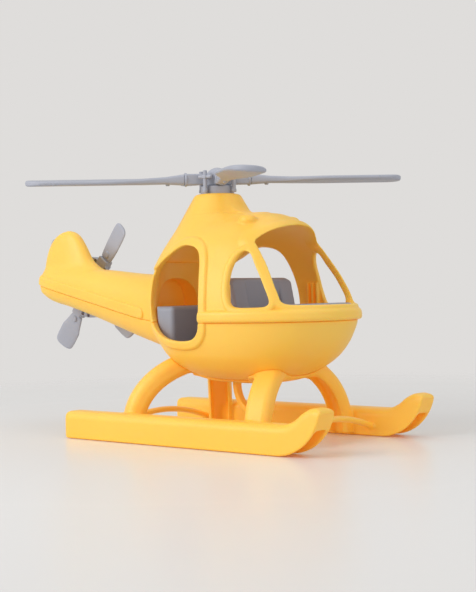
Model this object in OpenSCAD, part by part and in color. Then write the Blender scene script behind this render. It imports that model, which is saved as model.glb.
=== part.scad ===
// Toy helicopter with skids, an open cabin, a spinning main rotor and a spinning tail rotor.
// +X is the nose, +Y is the port side, +Z is up. The origin is on the ground plane,
// midway between the object's ends. Each piece is drawn about the main rotor's axis
// and then moved forward by mast_x.

/* [Main rotor] */
// Tip radius of the main rotor
rotor_r = 107.7; // [90:0.1:118]
// Height of the main blades' mid plane above the ground
rotor_z = 145.4; // [145.4:0.1:147]
// Angle of the first main blade from the nose
rotor_turn = 49; // [0:1:90]
// Widest chord of a main blade
blade_chord = 21; // [16:0.5:30]
// Lean of the mast towards the starboard bow
mast_lean = 3; // [0:0.1:3]
// Radius of the mast post
post_r = 3; // [2.5:0.1:3.5]
// Running clearance of a shaft in its hole
run_gap = 0.05; // [0.02:0.01:0.1]

/* [Tail rotor] */
// Tip radius of the tail rotor
tail_r = 47.6; // [36:0.5:50]
// Tail rotor axis along X from the mast, negative behind it
tail_x = -124.5; // [-126:0.5:-122]
// Tail rotor axis, height above the ground
tail_z = 86.3; // [86:0.1:88]
// Angle of the first tail blade above the horizontal
tail_turn = 52.6; // [0:0.1:90]
// Radius of the tail axle
axle_r = 2.4; // [2:0.1:2.6]

/* [Shells] */
// Wall thickness of the shells
wall = 2.2; // [1.6:0.1:2.6]
// Height of the seam between the upper and lower shell at the cabin
seam_z = 65.2; // [64:0.1:66]
// How far the belt band stands out from the cabin
belt_out = 2.4; // [1:0.1:3]
// How far the rims around the doors and windows stand out
rim_out = 1.5; // [0.8:0.1:2]
// Radius of the flat top of the mast fairing
fairing_r = 12.75; // [11:0.25:14]
// Height of the flat top of the mast fairing
fairing_z = 136.8; // [136.8:0.1:137]

/* [Landing gear] */
// Distance from the middle to the centre of a skid
skid_y = 47.2; // [46:0.1:50]
// Width of a skid
skid_w = 16; // [14:0.5:18]
// Height of a skid
skid_h = 15.2; // [14:0.1:16]
// Wall thickness of the landing gear
gear_wall = 2.4; // [1.8:0.1:3]

/* [Hidden] */
yellow = [0.96, 0.76, 0.25];
grey = [0.66, 0.66, 0.67];
seat_grey = [0.52, 0.52, 0.54];

mast_x = 28.05;
lean_dir = -50.3; // heading of the mast's lean, from the nose
fit_gap = 0.02;   // clearance of a fixed pin in its hole
seam_gap = 0.02;
boom_slope = 0.219; // climb of the seam along the boom
seam_bend_x = -51.2 - (seam_z - 67.7) / boom_slope;
tail_hub_y = 15;  // inboard face of the tail hub
head_z = fairing_z + 5.1; // underside of the rotor head
rivet_r = 2;
rivet_x = [5, 41];

module place() { translate([mast_x, 0, 0]) children(); }

// Everything on the mast leans about the middle of the main rotor.
module lean() {
    translate([0, 0, rotor_z])
        rotate([0, 0, lean_dir]) rotate([0, mast_lean, 0]) rotate([0, 0, -lean_dir])
            translate([0, 0, -rotor_z]) children();
}

// Frame of the tail rotor: Z points to port, y is its distance from the middle.
module on_tail(y = 0) { translate([tail_x, y, tail_z]) rotate([-90, 0, 0]) children(); }

// Four copies at right angles.
module four(turn) { for (i = [0 : 3]) rotate([0, 0, turn + 90 * i]) children(); }

// ---- Interpolation and lofting --------------------------------------------------
// smooth() reads a column of a table at a key in column 0, by a monotone cubic.
function row_at(table, key, i = 0) =
    i >= len(table) - 2 || key < table[i + 1][0] ? i : row_at(table, key, i + 1);
function rise(table, col, i) =
    (table[i + 1][col] - table[i][col]) / (table[i + 1][0] - table[i][0]);
function tangent(table, col, i) =
    i == 0 ? rise(table, col, 0)
    : i == len(table) - 1 ? rise(table, col, i - 1)
    : let (before = rise(table, col, i - 1), after = rise(table, col, i))
        before * after <= 0 ? 0 : 2 * before * after / (before + after);
function hermite(start, end, slope_in, slope_out, step, s) =
    (2*s*s*s - 3*s*s + 1) * start + (s*s*s - 2*s*s + s) * step * slope_in
    + (-2*s*s*s + 3*s*s) * end + (s*s*s - s*s) * step * slope_out;
function smooth(table, col, key) =
    let (
        i = row_at(table, key),
        step = table[i + 1][0] - table[i][0],
        s = max(0, min(1, (key - table[i][0]) / step))
    )
    hermite(table[i][col], table[i + 1][col],
        tangent(table, col, i), tangent(table, col, i + 1), step, s);

// Superellipse: power 2 is an ellipse, higher is squarer.
function signed_pow(v, power) = sign(v) * pow(abs(v), power);
function oval(half_x, half_y, power, sides) =
    [for (i = [0 : sides - 1])
        let (turn = 360 * i / sides)
        [half_x * signed_pow(cos(turn), 2 / power), half_y * signed_pow(sin(turn), 2 / power)]];

// Horizontal oval ring at height z.
function level_ring(rear, front, half_y, power, sides, z) =
    [for (p = oval((front - rear) / 2, half_y, power, sides))
        [p.x + (front + rear) / 2, p.y, z]];

function turned(p, angle) =
    [p.x * cos(angle) - p.y * sin(angle), p.y * cos(angle) + p.x * sin(angle)];

// Closed Catmull-Rom curve through the points, with one point added in each gap.
function curve(points) =
    let (n = len(points))
    [for (i = [0 : n - 1], s = [0, 0.5])
        let (
            a = points[(i + n - 1) % n],
            b = points[i],
            c = points[(i + 1) % n],
            d = points[(i + 2) % n]
        )
        0.5 * (2*b + s * (c - a) + s*s * (2*a - 5*b + 4*c - d) + s*s*s * (3*b - a - 3*c + d))];

// Closed solid through rings with equal numbers of points.
module loft(rings) {
    n = len(rings[0]);
    last = len(rings) - 1;
    polyhedron(
        points = [for (ring = rings, p = ring) p],
        faces = concat(
            [[for (i = [0 : n - 1]) i]],
            [[for (i = [n - 1 : -1 : 0]) last * n + i]],
            [for (j = [0 : last - 1], i = [0 : n - 1])
                [j * n + i, (j + 1) * n + (i + 1) % n, j * n + (i + 1) % n]],
            [for (j = [0 : last - 1], i = [0 : n - 1])
                [j * n + i, (j + 1) * n + i, (j + 1) * n + (i + 1) % n]]));
}

// Keeps a moulded skin as one closed surface.
module skin() { resize([0, 0, 0]) union() { children(); } }

// ---- Body shape -----------------------------------------------------------------
cabin_sides = 44;
inner_sides = 36;
// Cabin: height, rear end, front end, half width.
cabin = [
    [32.6, 12, 36, 8], [33.4, 2, 46, 17], [36, -10, 57, 26], [41, -21, 68, 34],
    [48, -29.5, 76.5, 40], [57, -35, 82.5, 43.8], [66, -37, 85.5, 45.5], [76, -37.5, 84, 45],
    [87, -36.5, 78.5, 43], [98, -33, 71, 39], [108, -26, 64.5, 34], [115, -17, 58.5, 28],
    [120, -8, 52, 21], [123.3, 4, 44, 13], [124.8, 14, 37, 6]];
cabin_z = [32.6, 33.4, 36, 40, 45, 51, 58, 65, 72, 79, 86, 93, 100, 106, 111, 115, 118.5,
    121.4, 123.5, 124.8];
// Boom: distance along X, underside, top, half width.
boom = [
    [-147.6, 86.8, 92.6, 3.6], [-146, 83.4, 95, 6], [-142, 80.2, 97, 8.4], [-134, 77, 98, 10.6],
    [-120, 73.8, 97.9, 12], [-95, 67, 96.8, 14.2], [-55, 54.8, 93, 17.5], [-24, 46, 91.5, 20]];
boom_x = [-147.6, -146, -144, -141, -137, -131, -122, -110, -95, -75, -55, -40, -24];
// Fin: height, rear end, front end, half thickness.
fin = [
    [86, -146, -96, 7.6], [97, -145.6, -99, 7], [104, -144.4, -105.2, 6.4],
    [112, -141, -110.3, 5.6], [118, -135.5, -115, 4.6], [121, -129.6, -119.4, 3.1],
    [121.9, -126.2, -122, 1.6]];
fin_z = [86, 92, 97, 101, 106, 111, 115, 118, 120, 121.2, 121.9];

// Mast fairing: a cone standing on fairing_base_z.
fairing_base_z = 94.8;
fairing_spread = 23.94; // base radius less top radius

// Bands: height at the cabin and on the boom, and how deep they root in the wall.
belt_h = 6.4;
boom_belt_h = 6.7;
boom_belt_out = 1.1;
band_root = 0.6;
door_rim_w = 5;
window_rim_w = 3.4;

// Side view outlines in X and Z.
door = curve([
    [4, 107], [12, 106.2], [17, 103.5], [19.8, 99], [21.8, 92], [23.6, 80], [23.8, 66],
    [22, 60], [17, 56.4], [8.7, 55.4], [0, 55.9], [-8, 57.4], [-16, 61], [-22, 66.4],
    [-26.3, 73], [-27.3, 81], [-25, 88.4], [-20, 94.6], [-14, 98.8], [-8, 102], [-3, 104.6]]);
window = curve([
    [42.5, 78], [41.4, 83], [41, 88], [40.9, 93.5], [41.8, 98], [43.6, 101.2], [46, 102.4],
    [49, 100.7], [52.6, 95.2], [56.8, 89], [61.2, 81.2], [63.3, 76.5], [62.9, 74.2],
    [60.5, 73.2], [54.5, 73], [48.2, 73.1], [44.4, 74.2]]);
// Windscreen's port half in Y and Z, from the bottom middle to the top.
half_screen = [
    [0, 73.8], [14, 73.8], [25, 73.9], [29.6, 74.3], [31.9, 75.8], [32.2, 79.5], [31.7, 85],
    [30.9, 90], [29.4, 97], [28.4, 103.6], [27.4, 107.6], [23.4, 110.9], [17.4, 113.7],
    [10.5, 115.5], [3, 116.3]];
screen = curve(concat(half_screen,
    [for (i = [len(half_screen) - 1 : -1 : 1]) [-half_screen[i].x, half_screen[i].y]]));

// Positive grow widens the rings at their own heights; negative also draws in both poles.
module cabin_solid(grow = 0, sides = cabin_sides) {
    low = cabin_z[0];
    tall = cabin_z[len(cabin_z) - 1] - low;
    loft([for (z = cabin_z)
        level_ring(smooth(cabin, 1, z) - grow, smooth(cabin, 2, z) + grow,
            smooth(cabin, 3, z) + grow, 2.15, sides,
            grow < 0 ? low - grow + (z - low) * (tall + 2 * grow) / tall : z)]);
}

module boom_solid(grow = 0, sides = 32) {
    loft([for (x = boom_x)
        let (low = smooth(boom, 1, x) - grow, high = smooth(boom, 2, x) + grow)
        [for (p = oval(smooth(boom, 3, x) + grow, (high - low) / 2, 2.5, sides))
            [x, p.x, p.y + (low + high) / 2]]]);
}

module fin_solid() {
    loft([for (z = fin_z)
        level_ring(smooth(fin, 1, z), smooth(fin, 2, z), smooth(fin, 3, z), 2.4, 24, z)]);
}

module fairing(grow = 0) {
    translate([0, 0, fairing_base_z])
        cylinder(r1 = fairing_r + fairing_spread + grow, r2 = fairing_r + grow,
            h = fairing_z - fairing_base_z + grow, $fn = 48);
}

// A side view outline, grown by margin and run across the whole width.
module across(outline, margin = 0) {
    translate([0, 80, 0]) rotate([90, 0, 0]) linear_extrude(160)
        offset(r = margin, $fn = 24) polygon(outline);
}

// Region above the seam: level at the cabin, rising backwards along the boom.
function seam_at(x) = seam_z + boom_slope * (seam_bend_x - x);
module above(lift = 0) {
    translate([0, 90, 0]) rotate([90, 0, 0]) linear_extrude(180)
        polygon([[120, seam_z + lift], [120, 160], [-180, 160],
            [-180, seam_at(-180) + lift], [seam_bend_x, seam_z + lift]]);
}

module outer() {
    cabin_solid();
    boom_solid();
    fin_solid();
    fairing();
}

module inner() {
    cabin_solid(-wall, inner_sides);
    intersection() {
        boom_solid(-wall, 26);
        translate([-143, -60, 30]) cube([140, 120, 90]);
    }
    intersection() {
        fairing(-wall);
        translate([-60, -60, 90]) cube([120, 120, fairing_z - wall - 90]);
    }
}

module cabin_layer(out) {
    difference() {
        cabin_solid(out);
        cabin_solid(-band_root);
    }
}

module belt() {
    intersection() {
        cabin_layer(belt_out);
        translate([20, -70, seam_z]) cube([90, 140, belt_h]);
    }
    intersection() {
        boom_solid(boom_belt_out);
        difference() {
            above();
            above(boom_belt_h);
        }
        translate([-160, -60, 40]) cube([118, 120, 80]);
    }
}

module rims() {
    intersection() {
        cabin_layer(rim_out);
        union() {
            across(door, door_rim_w);
            across(window, window_rim_w);
        }
    }
}

module openings() {
    across(door);
    across(window);
    translate([42, 0, 0]) rotate([90, 0, 90]) linear_extrude(60) polygon(screen);
}

module body_skin() {
    difference() {
        union() {
            outer();
            belt();
            rims();
        }
        inner();
        openings();
    }
}

module rivet_holes() {
    for (x = rivet_x) translate([x, 0, 20]) cylinder(r = rivet_r + fit_gap, h = 30, $fn = 32);
}

module upper_shell() {
    rib_pitch = 3.4;
    post_boss_z = 116;
    color(yellow) difference() {
        union() {
            skin() {
                intersection() {
                    body_skin();
                    above();
                }
                // ribs on the inside of the cabin wall, between door and window
                intersection() {
                    cabin_solid(-wall + 0.6, inner_sides);
                    union() for (y = [-50, 37], i = [0 : 2])
                        translate([29 + rib_pitch * i, y, 74]) cube([1.4, 13, 13]);
                }
            }
            // boss that holds the mast post
            lean() translate([0, 0, post_boss_z])
                cylinder(r = 7, h = fairing_z - wall - post_boss_z, $fn = 48);
            // boss that holds the tail axle
            on_tail(4) cylinder(r = 4.8, h = tail_hub_y - 4.1, $fn = 48);
        }
        lean() translate([0, 0, 110]) cylinder(r = post_r + fit_gap, h = 40, $fn = 48);
        on_tail() cylinder(r = axle_r + fit_gap, h = 30, $fn = 48);
        // trims the axle's boss below the seam
        translate([tail_x - 6, -2, seam_at(tail_x) - 8]) cube([12, 18, 8 - seam_gap]);
    }
}

module lower_shell() {
    color(yellow) difference() {
        skin() difference() {
            body_skin();
            above(-seam_gap);
            // room for the tail axle's boss
            translate([tail_x - 5.4, 3, 70]) cube([10.8, 12, 30]);
        }
        rivet_holes();
    }
}

// ---- Landing gear ---------------------------------------------------------------
skid_rear_x = -73.9;
straight_steps = 6; // from the rear end to the start of the curl
curl_x = 80;
curl_r = 27.5;
// The front tip curls up: angle round the curl, height of the section there.
curl = [[0, 15.2], [12, 15], [24, 14.7], [36, 14.2], [48, 13.5], [58, 12.7], [66, 11.8],
    [72, 10.3], [77, 8], [80, 5.5], [82, 3]];
curl_end = len(curl) - 1;
leg_steps = 9;
leg_end_z = 1.5;
// Port legs: top, foot, width, depth.
legs = [
    [[-3.3, 0.6, 43.5], [-33.1, 37.3, 7.2], 14.4, 12.9],
    [[46.5, 0.6, 42.1], [55.7, 37.5, 5], 14.2, 9.6]];

// Place of a skid's section i: x, z, tilt.
function skid_at(i) =
    i <= straight_steps
    ? [skid_rear_x + (curl_x - skid_rear_x) * i / straight_steps, 0, 0]
    : let (angle = curl[i - straight_steps][0])
        [curl_x + curl_r * sin(angle), curl_r * (1 - cos(angle)), angle];

// Section of a skid: round shoulders of radius r, flat underside.
function skid_section(width, height, r) =
    concat([[-width / 2, 0], [width / 2, 0]],
        [for (a = [0 : 15 : 90]) [width / 2 - r + r * cos(a), height - r + r * sin(a)]],
        [for (a = [90 : 15 : 180]) [-width / 2 + r + r * cos(a), height - r + r * sin(a)]]);

// inset shrinks the sides and top, drop lowers the underside, last is the final section.
module skid_solid(inset, drop, last) {
    loft([for (i = [0 : last])
        let (
            at = skid_at(i),
            tilt = at[2],
            taper = curl[max(0, i - straight_steps)][1] / curl[0][1],
            width = skid_w * (1 - 0.1 * tilt / curl[curl_end][0]) - 2 * inset,
            height = skid_h * taper - inset + drop,
            shoulder = min(5.2 - inset * 0.7, width / 2 - 0.5, height * 0.6)
        )
        [for (p = skid_section(width, height, shoulder))
            [at[0] - (p.y - drop) * sin(tilt), skid_y + p.x, at[1] + (p.y - drop) * cos(tilt)]]]);
}

// Hollow from below, solid towards the tip.
module skid() {
    difference() {
        skid_solid(0, 0, straight_steps + curl_end);
        intersection() {
            skid_solid(gear_wall, 1, straight_steps + 5);
            translate([skid_rear_x + gear_wall, 0, -20]) cube([200, 80, 80]);
        }
    }
}

// A leg bends out and down along a quarter ellipse, then drops straight to leg_end_z.
function leg_rings(top, foot, width, depth) =
    let (
        heading = atan2(foot.y - top.y, foot.x - top.x),
        run = norm([foot.x - top.x, foot.y - top.y]),
        fall = top.z - foot.z
    )
    [for (i = [0 : leg_steps + 1])
        let (
            turn = 90 * min(1, i / leg_steps),
            x = top.x + (foot.x - top.x) * sin(turn),
            y = top.y + (foot.y - top.y) * sin(turn),
            z = i > leg_steps ? leg_end_z : foot.z + fall * cos(turn),
            tilt = atan2(-fall * sin(turn), run * cos(turn))
        )
        [for (p = oval(depth / 2, width / 2, 3.2, 20))
            [x - p.x * sin(tilt) * cos(heading) + p.y * sin(heading),
             y - p.x * sin(tilt) * sin(heading) - p.y * cos(heading),
             z + p.x * cos(tilt)]]];

module leg(top, foot, width, depth) {
    difference() {
        loft(leg_rings(top, foot, width, depth));
        // channel, shifted inboard and down
        translate([(top.x - foot.x) * 0.05, -2.4, -2.2])
            loft(leg_rings(top, foot, width - 4.4, depth - 1));
        // clears the hollow of the skid
        translate([-100, skid_y - skid_w / 2 + gear_wall - 0.6, -10])
            cube([200, 40, 23 - gear_wall]);
    }
}

// Arched bar between the skids.
module brace(x) {
    steps = 12;
    loft([for (i = [0 : steps])
        let (v = -1 + 2 * i / steps)
        [for (p = oval(2.6, 1.7, 2.6, 12))
            [x - p.x, v * (skid_y - 5), 4.5 + 8 * (1 - v * v) + p.y]]]);
}

// Hook under the belly, in the middle plane.
module hook() {
    steps = 9;
    loft([for (i = [0 : steps])
        let (s = i / steps, angle = 150 + 155 * s)
        [for (p = oval(1.9 - 0.5 * s, 2.4, 3, 12))
            [27 + (15.5 + p.x) * cos(angle), p.y, 30 + (17 + p.x) * sin(angle)]]]);
}

module landing_gear() {
    color(yellow) difference() {
        skin() difference() {
            union() {
                for (s = [0, 1]) mirror([0, s, 0]) {
                    skid();
                    for (l = legs) leg(l[0], l[1], l[2], l[3]);
                }
                brace(-47);
                brace(74);
                // saddle plate that follows the belly
                intersection() {
                    translate([0, 0, -0.6]) cabin_solid(0.8, inner_sides);
                    translate([19, 0, 20]) linear_extrude(22) polygon(oval(38, 21, 3, 40));
                }
                hook();
            }
            cabin_solid(0.05);
            // everything below the ground
            translate([-100, -80, -20]) cube([240, 160, 20]);
        }
        rivet_holes();
    }
}

module gear_rivets() {
    color(yellow) for (x = rivet_x) {
        translate([x, 0, 31.6]) cylinder(r = rivet_r, h = 6, $fn = 32);
        translate([x, 0, 36.1]) cylinder(r = 3.6, h = 1.5, $fn = 32);
    }
}

// ---- Seats ----------------------------------------------------------------------
// Bar along X with rounded edges.
module round_bar(rear, front, half_y, low, high, r) {
    translate([front, 0, 0]) rotate([90, 0, -90]) linear_extrude(front - rear)
        offset(r = r, $fn = 24)
            translate([-half_y + r, low + r]) square([2 * half_y - 2 * r, high - low - 2 * r]);
}

module seat_insert() {
    seat_gap = 0.35;
    color(seat_grey) skin() intersection() {
        cabin_solid(-wall - seat_gap, inner_sides);
        difference() {
            union() {
                // floor
                translate([-60, -60, 50]) cube([160, 120, 2.4]);
                // rear bench
                round_bar(-31, -9.5, 29.5, 46, 74, 2.5);
                // front bench's back, then its seat
                round_bar(22.5, 31, 26.5, 48, 88.8, 5);
                round_bar(22.5, 48, 26.5, 46, 66, 3);
                // dashboard shelf on its front panel
                translate([60, -60, 71.6]) cube([60, 120, 2.6]);
                translate([60, -24, 50]) cube([2.4, 48, 23]);
            }
            // hollows of the benches
            round_bar(-29, -11.5, 27.3, 30, 71.8, 2);
            round_bar(24.7, 45.8, 24.3, 30, 63.8, 2);
        }
    }
}

// ---- Parts shared by both rotors ------------------------------------------------
module clip(radius, shaft_r, facets) {
    difference() {
        cylinder(r = radius, h = 1, $fn = facets);
        translate([0, 0, -1]) cylinder(r = shaft_r + fit_gap, h = 3, $fn = facets);
    }
}

// Domed cap with a recess of radius bore underneath, cut from 1 below the cap.
module cap(radius, dome_r, dome_z, bore, bore_h) {
    difference() {
        intersection() {
            translate([0, 0, dome_z]) sphere(r = dome_r, $fn = 48);
            cylinder(r = radius, h = 6, $fn = 48);
        }
        translate([0, 0, -1]) cylinder(r = bore, h = bore_h, $fn = 48);
    }
}

// ---- Main rotor -----------------------------------------------------------------
post_foot_z = 113.5;
head_h = 7.4;
pin_r = 2; // pin at a main blade's root
link_r = 1.15;
link_x = 11.5; // pitch links, distance from the mast
link_turn = rotor_turn - 45;
blade_root = 18.9;
blade_x = [blade_root, 21, 25, 29, 33, 38, 44, 51, 59, 68, 77, 85, 91.5, 96, 100, 103, 105.2,
    106.5, 107];
blade_scale = rotor_r / 107; // 107 is the last station
// Each blade: droop near the root, upward angle further out.
blade_set = [[0.8, 0], [0, 1.6], [0.8, 0], [0, 0.65]];

module mast_post() {
    color(grey) lean() {
        translate([0, 0, post_foot_z]) cylinder(r = 5.6, h = 2.5, $fn = 48);
        translate([0, 0, post_foot_z])
            cylinder(r = post_r, h = head_z + 5.6 - post_foot_z, $fn = 48);
    }
}

module mast_collar() {
    color(grey) difference() {
        lean() translate([0, 0, fairing_z]) difference() {
            translate([0, 0, -1.5]) cylinder(r = 9.45, h = 6.5, $fn = 64);
            translate([0, 0, -4]) cylinder(r = post_r + fit_gap, h = 12, $fn = 48);
        }
        // level underside on the fairing
        translate([-20, -20, fairing_z - 10]) cube([40, 40, 10]);
    }
}

module mast_clip() {
    color(grey) lean() translate([0, 0, head_z + 3.9]) clip(4.6, post_r, 48);
}

module rotor_head() {
    color(grey) lean() difference() {
        union() {
            translate([0, 0, head_z]) cylinder(r = 7.4, h = head_h, $fn = 64);
            four(rotor_turn) {
                translate([4, -3, head_z + 0.4]) cube([13.8, 6, 6.4]);
                translate([17.6, 0, rotor_z]) rotate([0, 90, 0])
                    cylinder(r = 3.9, h = 1.3, $fn = 40);
            }
            // lug and cross bar for a link
            four(link_turn) {
                translate([5, -1.4, head_z + 3.8]) cube([8, 2.8, 2]);
                translate([link_x, 4.4, head_z + 4.8]) rotate([90, 0, 0])
                    cylinder(r = 0.9, h = 8.8, $fn = 24);
            }
        }
        translate([0, 0, head_z - 1]) cylinder(r = post_r + run_gap, h = 12, $fn = 48);
        // pocket for the clip
        translate([0, 0, head_z + 3.85]) cylinder(r = 4.8, h = 6, $fn = 48);
        four(rotor_turn) translate([12.8, 0, rotor_z]) rotate([0, 90, 0])
            cylinder(r = pin_r + fit_gap, h = 8, $fn = 32);
        four(link_turn) translate([link_x, 0, head_z + 2])
            cylinder(r = link_r + fit_gap, h = 6, $fn = 24);
    }
}

module rotor_cap() {
    color(grey) lean() translate([0, 0, head_z + head_h]) cap(5.6, 7, -4.2, 4, 2);
}

module pitch_links() {
    color(grey) lean() four(link_turn) translate([link_x, 0, fairing_z + 1.2]) {
        cylinder(r = link_r, h = 12.4, $fn = 24);
        cylinder(r = 1.4, h = 1.8, $fn = 24);
    }
}

// Main blade at distance x from the mast: a narrow shank up to 30, then the blade.
function tip_taper(q) = q <= 0.86 ? 1 : sqrt(max(0.02, 1 - pow((q - 0.86) / 0.142, 2)));
function chord_at(x) =
    let (g = min(1, (x - 30) / 34))
    x < 30 ? 6.6 + 0.04 * (x - blade_root)
    : (7 + (blade_chord - 7) * g * g * (3 - 2 * g)) * tip_taper(x / rotor_r);
function thickness_at(x) =
    x < 30 ? 6.4 - 2.2 * (x - blade_root) / 11 : 4.2 - min(1, (x - 30) / 20);
function pitch_at(x) = x < 28 ? 0 : -4 * min(1, (x - 28) / 20);

module main_blade(k) {
    droop = blade_set[k - 1][0];
    climb = blade_set[k - 1][1];
    color(grey) lean() rotate([0, 0, rotor_turn + 90 * (k - 1)]) {
        translate([13, 0, rotor_z]) rotate([0, 90, 0]) cylinder(r = pin_r, h = 8, $fn = 32);
        loft([for (station = blade_x)
            let (
                x = station * blade_scale,
                half_t = thickness_at(x) / 2 * (station > 100 ? 0.7 : 1),
                z = rotor_z - droop * min(1, (station - blade_root) / 24)
                    + max(0, x - 30) * tan(climb)
            )
            [for (p = oval(chord_at(x) / 2, half_t, 2.8, 18))
                let (q = turned(p, pitch_at(x))) [x, q.x, z + q.y]]]);
        // stud under the shank
        translate([28.4, 0, rotor_z - 3.4]) cylinder(r = 1.1, h = 3, $fn = 24);
    }
}

// ---- Tail rotor -----------------------------------------------------------------
tail_hub_h = 7.4;
tail_pin_r = 1.5;
tail_pin_z = 3.8; // blade axis above the hub's inboard face
tail_blade_x = [22.4, 24, 26.4, 29, 32, 36, 40, 43.4, 45.6, 47, 47.6];
tail_scale = tail_r / 47.6; // 47.6 is the last station

module tail_axle() {
    color(grey) on_tail() translate([0, 0, 1.8]) {
        cylinder(r = 3.8, h = 2.2, $fn = 40);
        cylinder(r = axle_r, h = tail_hub_y + 5.2, $fn = 40);
    }
}

module tail_clip() {
    color(grey) on_tail(tail_hub_y + 5.1) clip(3.8, axle_r, 40);
}

module tail_hub() {
    color(grey) on_tail(tail_hub_y) difference() {
        union() {
            cylinder(r = 6.6, h = tail_hub_h, $fn = 48);
            // ring
            difference() {
                translate([0, 0, 1]) cylinder(r = 19.6, h = 5.6, $fn = 64);
                translate([0, 0, -1]) cylinder(r = 15.6, h = 12, $fn = 64);
            }
            // arms with end blocks
            four(-tail_turn) {
                translate([4, -2.6, 1.2]) cube([16, 5.2, 5.2]);
                translate([19, -4, 0.8]) cube([3.4, 8, 6]);
            }
        }
        translate([0, 0, -1]) cylinder(r = axle_r + run_gap, h = 12, $fn = 40);
        // pocket for the clip
        translate([0, 0, 5.05]) cylinder(r = 4, h = 6, $fn = 40);
        // pin holes, and notches in the ring between the arms
        four(-tail_turn) {
            translate([14, 0, tail_pin_z]) rotate([0, 90, 0])
                cylinder(r = tail_pin_r + fit_gap, h = 12, $fn = 28);
            for (turn = [-34, -17, 17, 34]) rotate([0, 0, turn])
                translate([17.4, -1.1, 3.4]) cube([4, 2.2, 8]);
        }
    }
}

module tail_cap() {
    color(grey) on_tail(tail_hub_y + tail_hub_h) cap(5, 7.2, -5, 3.4, 1.6);
}

module tail_blade(k) {
    color(grey) on_tail(tail_hub_y) rotate([0, 0, -tail_turn - 90 * (k - 1)])
        translate([0, 0, tail_pin_z]) {
            translate([14.2, 0, 0]) rotate([0, 90, 0])
                cylinder(r = tail_pin_r, h = 10, $fn = 28);
            loft([for (station = tail_blade_x)
                let (
                    grow = min(1, (station - tail_blade_x[0]) / 12),
                    taper = station < 41 ? 1 : sqrt(max(0.03, 1 - pow((station - 41) / 6.7, 2)))
                )
                [for (p = oval((8 + 3.4 * grow) * taper / 2, 1.3 - 0.2 * grow, 2.6, 16))
                    let (q = turned(p, 14 * grow)) [station * tail_scale, q.x, q.y]]]);
            // stud on the port face
            translate([25.4, 0, 0]) cylinder(r = 2, h = 2.2, $fn = 28);
        }
}

place() upper_shell();
place() lower_shell();
place() landing_gear();
place() gear_rivets();
place() seat_insert();
place() mast_post();
place() mast_collar();
place() mast_clip();
place() rotor_head();
place() rotor_cap();
place() pitch_links();
place() main_blade(1);  // main_blade_1
place() main_blade(2);  // main_blade_2
place() main_blade(3);  // main_blade_3
place() main_blade(4);  // main_blade_4
place() tail_axle();
place() tail_clip();
place() tail_hub();
place() tail_cap();
place() tail_blade(1);  // tail_blade_1
place() tail_blade(2);  // tail_blade_2
place() tail_blade(3);  // tail_blade_3
place() tail_blade(4);  // tail_blade_4
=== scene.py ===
"""A toy helicopter of moulded plastic: yellow body and landing gear, grey rotors and seats.

The nose points along +X, port is +Y, and the skids stand on z = 0.
Every piece is a distance field, negative inside, in mm about the main rotor's axis.
surface_net() turns a field into a mesh, and place() moves it to the frame, in metres.
"""
import itertools
import math
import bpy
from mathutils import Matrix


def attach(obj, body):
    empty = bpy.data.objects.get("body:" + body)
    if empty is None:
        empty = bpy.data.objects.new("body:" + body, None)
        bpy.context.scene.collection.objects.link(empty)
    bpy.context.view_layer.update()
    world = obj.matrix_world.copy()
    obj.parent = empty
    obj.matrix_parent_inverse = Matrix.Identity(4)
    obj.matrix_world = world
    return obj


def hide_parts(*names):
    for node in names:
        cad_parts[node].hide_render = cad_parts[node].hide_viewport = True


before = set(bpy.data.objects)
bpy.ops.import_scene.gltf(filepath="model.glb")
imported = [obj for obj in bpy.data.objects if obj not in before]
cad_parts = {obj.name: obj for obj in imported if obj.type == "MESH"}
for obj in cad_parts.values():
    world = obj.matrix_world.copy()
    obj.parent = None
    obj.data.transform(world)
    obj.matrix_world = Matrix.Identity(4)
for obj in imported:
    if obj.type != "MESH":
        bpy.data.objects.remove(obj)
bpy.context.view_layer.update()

from concurrent.futures import ThreadPoolExecutor

import bpy
import numpy as np
from mathutils import Matrix, Vector

COARSE = 1.0   # factor on every mesh cell
MAST_X = 28.05                         # main rotor's axis ahead of the origin, mm

# ------------------------------------------------------------------ field tools
def join(first, second, soft):
    """Union with a fillet."""
    mix = np.clip(0.5 + 0.5 * (second - first) / soft, 0, 1)
    return second * (1 - mix) + first * mix - soft * mix * (1 - mix)

def overlap(first, second, soft):
    """Intersection with a rounded edge."""
    return -join(-first, -second, soft)

def cut(solid, hole, soft=None):
    """Difference, sharp unless soft is given."""
    return overlap(solid, -hole, soft) if soft else np.maximum(solid, -hole)

def smoothstep(value, start, span):
    part = np.clip((value - start) / span, 0, 1)
    return part * part * (3 - 2 * part)

def round_corner(first, second, radius):
    """Corner between two faces that each lie one radius further in."""
    outside = np.hypot(np.maximum(first, 0), np.maximum(second, 0))
    return outside + np.minimum(np.maximum(first, second), 0) - radius

def round_rect(first, second, half_first, half_second, radius):
    return round_corner(np.abs(first) - (half_first - radius),
                        np.abs(second) - (half_second - radius), radius)

def round_box(points, low, high, radius):
    middle = (np.array(low) + np.array(high)) / 2
    half = (np.array(high) - np.array(low)) / 2
    out = np.abs(points - middle) - (half - radius)
    return np.sqrt((np.maximum(out, 0) ** 2).sum(1)) + np.minimum(out.max(1), 0) - radius

def rod(points, start, end, radius, edge):
    """Cylinder from start to end with rims rounded by edge."""
    start, end = np.array(start, float), np.array(end, float)
    length = np.linalg.norm(end - start)
    offset = points - (start + end) / 2
    along = offset @ ((end - start) / length)
    across = np.sqrt(np.maximum((offset * offset).sum(1) - along * along, 0))
    return round_corner(across - (radius - edge), np.abs(along) - (length / 2 - edge), edge)

def ellipsoid(points, centre, radii):
    offset = points - np.array(centre, float)
    radii = np.array(radii, float)
    reach = np.sqrt(((offset / radii) ** 2).sum(1))
    slope = np.sqrt(((offset / radii ** 2) ** 2).sum(1))
    return reach * (reach - 1) / (slope + 1e-9)

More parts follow.
